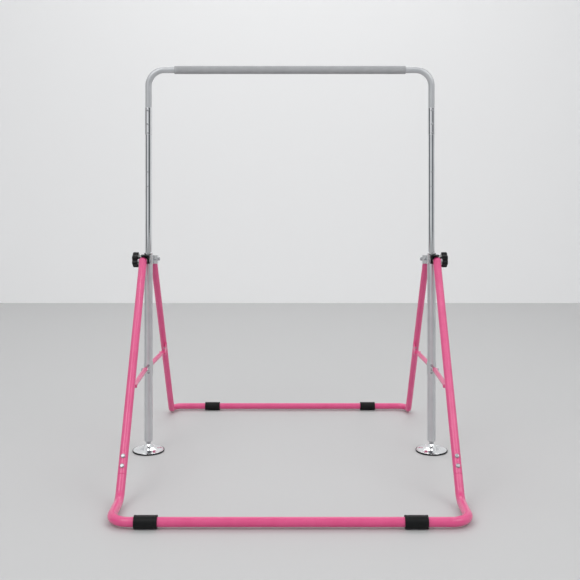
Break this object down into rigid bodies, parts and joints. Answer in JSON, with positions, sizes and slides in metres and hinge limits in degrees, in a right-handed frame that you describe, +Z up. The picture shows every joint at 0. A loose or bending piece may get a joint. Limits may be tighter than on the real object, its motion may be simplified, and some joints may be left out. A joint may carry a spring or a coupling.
{
  "type": "gymnastics kip bar",
  "caption": "Folding height-adjustable gymnastics kip bar: pink steel tube A-frame, chromed telescoping uprights with round feet and a padded grey bar.",
  "frame": {"origin": "on the floor under the middle of the open stand", "axes": "+Z up, +X along the bar to the right as seen from the front; the front frame reaches towards -Y and the rear frame towards +Y"},
  "size_m": [1.224, 1.379, 1.5],
  "materials": {
    "pink_paint": "gloss powder coat",
    "chrome_plate": "polished chrome plate",
    "satin_grey": "satin light grey powder coat",
    "satin_zinc": "satin zinc plate",
    "zinc_steel": "bright zinc plate",
    "dark_screws": "black oxide",
    "black_plastic": "moulded, fine texture",
    "black_rubber": "smooth rubber",
    "grip_foam": "matte vinyl grip",
    "white_nylon": "natural nylon"
  },
  "bodies": {
    "posts": {"lower_post_left": "satin_zinc", "lower_post_right": "satin_zinc", "top_collar_left": "chrome_plate", "top_collar_right": "chrome_plate", "collar_screws": "dark_screws", "hinge_block_left": "black_plastic", "hinge_block_right": "black_plastic", "pivot_bolts": "zinc_steel", "pivot_washers": "white_nylon", "rear_hinge_bracket_left": "chrome_plate", "rear_hinge_bracket_right": "chrome_plate", "foot_stem_left": "zinc_steel", "foot_stem_right": "zinc_steel", "foot_disc_left": "chrome_plate", "foot_disc_right": "chrome_plate", "foot_pad_left": "black_rubber", "foot_pad_right": "black_rubber", "foot_bolts": "zinc_steel"},
    "bar": {"grip_sleeve": "grip_foam", "bar_tube": "zinc_steel", "corner_tube_left": "satin_grey", "corner_tube_right": "satin_grey", "coupler_left": "chrome_plate", "coupler_right": "chrome_plate", "pole_fasteners": "zinc_steel", "upper_pole_left": "chrome_plate", "upper_pole_right": "chrome_plate", "inner_pole_left": "chrome_plate", "inner_pole_right": "chrome_plate", "pole_spigots": "zinc_steel", "pole_glides": "white_nylon", "button_spring_left": "zinc_steel", "button_spring_right": "zinc_steel"},
    "button_left": {"spring_button_left": "zinc_steel"},
    "button_right": {"spring_button_right": "zinc_steel"},
    "knob_left": {"star_knob_left": "black_plastic", "knob_screw_left": "zinc_steel"},
    "knob_right": {"star_knob_right": "black_plastic", "knob_screw_right": "zinc_steel"},
    "front_frame": {"front_leg_left": "pink_paint", "front_leg_right": "pink_paint", "front_base_tube": "pink_paint", "splice_bolts": "zinc_steel", "front_sleeve_left": "black_rubber", "front_sleeve_right": "black_rubber", "front_link_lugs": "pink_paint"},
    "rear_frame": {"rear_leg_left": "pink_paint", "rear_leg_right": "pink_paint", "rear_cross_tube": "pink_paint", "rear_sleeve_left": "black_rubber", "rear_sleeve_right": "black_rubber", "rear_link_lugs": "pink_paint"},
    "runner_left": {"runner_left": "satin_zinc", "runner_fasteners_left": "zinc_steel"},
    "runner_right": {"runner_right": "satin_zinc", "runner_fasteners_right": "zinc_steel"},
    "front_link_left": {"spreader_front_left": "pink_paint"},
    "front_link_right": {"spreader_front_right": "pink_paint"},
    "rear_link_left": {"spreader_rear_left": "pink_paint"},
    "rear_link_right": {"spreader_rear_right": "pink_paint"}
  },
  "joints": [
    {"name": "bar_height", "type": "slide", "parent": "posts", "child": "bar", "axis": [0, 0, 1], "range_m": [-0.455, 0]},
    {"name": "front_fold", "type": "hinge", "parent": "posts", "child": "front_frame", "pos_m": [0, 0.049, 0.745], "axis": [1, 0, 0], "range_deg": [0, 18.9]},
    {"name": "rear_fold", "type": "hinge", "parent": "posts", "child": "rear_frame", "pos_m": [0, 0.114, 0.745], "axis": [-1, 0, 0], "range_deg": [0, 22.77]},
    {"name": "runner_left", "type": "slide", "parent": "posts", "child": "runner_left", "axis": [0, 0, 1], "range_m": [0, 0.17325]},
    {"name": "runner_right", "type": "slide", "parent": "posts", "child": "runner_right", "axis": [0, 0, 1], "range_m": [0, 0.17325]},
    {"name": "front_link_left", "type": "hinge", "parent": "runner_left", "child": "front_link_left", "pos_m": [-0.551, 0.0535, 0.323], "axis": [1, 0, 0], "range_deg": [0, 65.66]},
    {"name": "rear_link_left", "type": "hinge", "parent": "runner_left", "child": "rear_link_left", "pos_m": [-0.551, 0.1105, 0.323], "axis": [-1, 0, 0], "range_deg": [0, 79.94]},
    {"name": "front_link_right", "type": "hinge", "parent": "runner_right", "child": "front_link_right", "pos_m": [0.551, 0.0535, 0.323], "axis": [1, 0, 0], "range_deg": [0, 65.66]},
    {"name": "rear_link_right", "type": "hinge", "parent": "runner_right", "child": "rear_link_right", "pos_m": [0.551, 0.1105, 0.323], "axis": [-1, 0, 0], "range_deg": [0, 79.94]},
    {"name": "knob_left", "type": "hinge", "parent": "posts", "child": "knob_left", "pos_m": [-0.5, 0.082, 0.745], "axis": [1, 0, 0], "continuous": true},
    {"name": "knob_right", "type": "hinge", "parent": "posts", "child": "knob_right", "pos_m": [0.5, 0.082, 0.745], "axis": [1, 0, 0], "continuous": true},
    {"name": "button_left", "type": "slide", "parent": "bar", "child": "button_left", "axis": [0, 1, 0], "range_m": [0, 0.003], "stiffness_N_per_m": 400, "deforming": ["button_spring_left"]},
    {"name": "button_right", "type": "slide", "parent": "bar", "child": "button_right", "axis": [0, 1, 0], "range_m": [0, 0.003], "stiffness_N_per_m": 400, "deforming": ["button_spring_right"]}
  ],
  "couplings": [
    {"joint": "rear_fold", "follows": "front_fold", "ratio": 1.2039},
    {"joint": "runner_left", "follows": "front_fold", "m_per_rad": 0.52487},
    {"joint": "runner_right", "follows": "front_fold", "m_per_rad": 0.52487},
    {"joint": "front_link_left", "follows": "front_fold", "ratio": 3.4733},
    {"joint": "rear_link_left", "follows": "front_fold", "ratio": 4.2286},
    {"joint": "front_link_right", "follows": "front_fold", "ratio": 3.4733},
    {"joint": "rear_link_right", "follows": "front_fold", "ratio": 4.2286}
  ]
}
